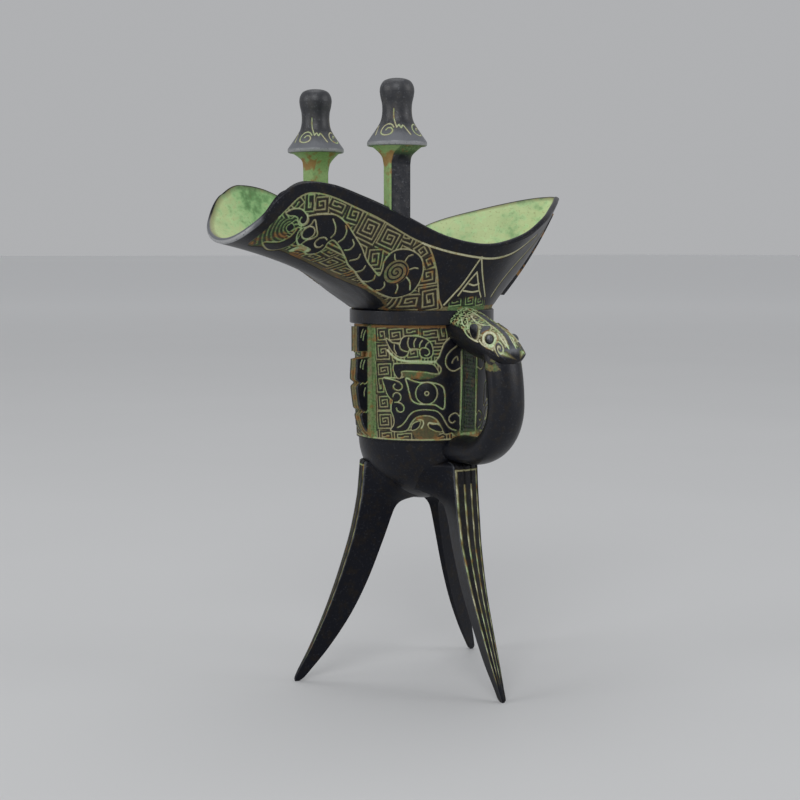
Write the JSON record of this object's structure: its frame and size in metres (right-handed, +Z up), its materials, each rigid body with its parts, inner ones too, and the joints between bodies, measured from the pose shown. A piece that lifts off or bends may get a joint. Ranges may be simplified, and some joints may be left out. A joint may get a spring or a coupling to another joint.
{
  "type": "bronze jue vessel",
  "caption": "Three-legged bronze wine vessel with a pouring spout, a pointed tail, capped posts on the rim and a loop handle under a beast's head.",
  "frame": {"origin": "on the table, on the axis of the round cup", "axes": "+Z up; the spout points along -X, the tail along +X, the handle is on the -Y side"},
  "size_m": [0.1536, 0.0904, 0.22],
  "materials": {
    "dark_bronze": "satin",
    "verdigris_bronze": "matte",
    "worn_bronze": "satin"
  },
  "bodies": {
    "root": {"beast_head": "verdigris_bronze", "cap_far": "worn_bronze", "cap_near": "worn_bronze", "cup": "dark_bronze", "flange_back": "verdigris_bronze", "flange_spout": "verdigris_bronze", "flange_tail": "verdigris_bronze", "handle": "dark_bronze", "leg_handle_side": "dark_bronze", "leg_spout_side": "dark_bronze", "leg_tail_side": "dark_bronze", "mouth": "dark_bronze", "post_far": "worn_bronze", "post_near": "worn_bronze", "tail_fin": "verdigris_bronze", "waist_band": "dark_bronze"}
  },
  "joints": []
}
